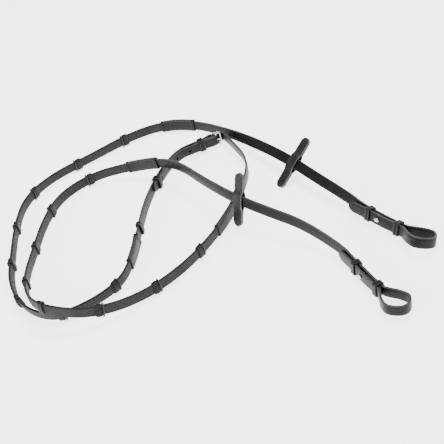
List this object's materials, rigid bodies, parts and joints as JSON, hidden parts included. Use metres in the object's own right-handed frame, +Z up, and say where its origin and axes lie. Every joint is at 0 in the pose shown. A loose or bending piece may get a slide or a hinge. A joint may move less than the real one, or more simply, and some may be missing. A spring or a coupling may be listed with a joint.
{
  "type": "riding reins",
  "caption": "Pair of black web and leather riding reins with hook-stud billets, rein stops, leather hand stops and a centre buckle, laid in an open double loop.",
  "frame": {"origin": "on the floor under the middle of the laid-out set's box", "axes": "+X runs towards the bit loops, +Y away from the pointed end's side, +Z up"},
  "size_m": [0.6656, 0.4672, 0.0864],
  "materials": {
    "rein_leather": "black, semi-matt, fine grain",
    "loop_leather": "black, slightly glossier edge-dyed strips",
    "rein_web": "black cotton web, matt",
    "stop_leather": "black, two layers stitched, matt",
    "buckle_metal": "nickel plate, polished"
  },
  "bodies": {
    "reins": {"right_front_strap": "rein_leather", "right_web_grip": "rein_web", "right_front_splice": "rein_leather", "right_rear_splice": "rein_leather", "right_rear_strap": "rein_leather", "right_fixed_keeper": "loop_leather", "right_hook_stud": "buckle_metal", "right_hand_stop_1": "loop_leather", "right_hand_stop_2": "loop_leather", "right_hand_stop_3": "loop_leather", "right_hand_stop_4": "loop_leather", "right_hand_stop_5": "loop_leather", "right_hand_stop_6": "loop_leather", "right_hand_stop_7": "loop_leather", "right_hand_stop_8": "loop_leather", "left_front_strap": "rein_leather", "left_web_grip": "rein_web", "left_front_splice": "rein_leather", "left_rear_splice": "rein_leather", "left_rear_strap": "rein_leather", "left_fixed_keeper": "loop_leather", "left_hook_stud": "buckle_metal", "left_hand_stop_1": "loop_leather", "left_hand_stop_2": "loop_leather", "left_hand_stop_3": "loop_leather", "left_hand_stop_4": "loop_leather", "left_hand_stop_5": "loop_leather", "left_hand_stop_6": "loop_leather", "left_hand_stop_7": "loop_leather", "left_hand_stop_8": "loop_leather", "buckle_keeper": "loop_leather"},
    "right_rein_stop": {"right_rein_stop": "stop_leather"},
    "left_rein_stop": {"left_rein_stop": "stop_leather"},
    "right_free_keeper": {"right_free_keeper": "loop_leather"},
    "left_free_keeper": {"left_free_keeper": "loop_leather"},
    "point_keeper": {"point_keeper": "loop_leather"},
    "rear_runner": {"rear_runner": "loop_leather"},
    "buckle_frame": {"buckle_frame": "buckle_metal"},
    "buckle_tongue": {"buckle_tongue": "buckle_metal"}
  },
  "joints": [
    {"name": "right_rein_stop_slide", "type": "slide", "parent": "reins", "child": "right_rein_stop", "axis": [-0.7843, 0.6201, -0.0198], "range_m": [-0.01, 0.01]},
    {"name": "left_rein_stop_slide", "type": "slide", "parent": "reins", "child": "left_rein_stop", "axis": [-0.8835, 0.4662, 0.046], "range_m": [-0.007, 0.006]},
    {"name": "right_free_keeper_slide", "type": "slide", "parent": "reins", "child": "right_free_keeper", "axis": [-0.8207, 0.5713, -0.0053], "range_m": [-0.007, 0.006]},
    {"name": "left_free_keeper_slide", "type": "slide", "parent": "reins", "child": "left_free_keeper", "axis": [-0.6575, 0.7534, -0.0016], "range_m": [-0.005, 0.01]},
    {"name": "point_keeper_slide", "type": "slide", "parent": "reins", "child": "point_keeper", "axis": [0.0139, 0.9999, 0], "range_m": [-0.01, 0.005]},
    {"name": "rear_runner_slide", "type": "slide", "parent": "reins", "child": "rear_runner", "axis": [-0.155, 0.9879, 0], "range_m": [-0.01, 0.01]},
    {"name": "buckle_frame_swing", "type": "hinge", "parent": "reins", "child": "buckle_frame", "pos_m": [-0.05895, 0.18613, 0.01323], "axis": [0, 0, 1], "range_deg": [-4, 3]},
    {"name": "buckle_tongue_swing", "type": "hinge", "parent": "buckle_frame", "child": "buckle_tongue", "pos_m": [-0.05895, 0.18613, 0.01323], "axis": [0, 0, 1], "range_deg": [-3, 0]}
  ]
}
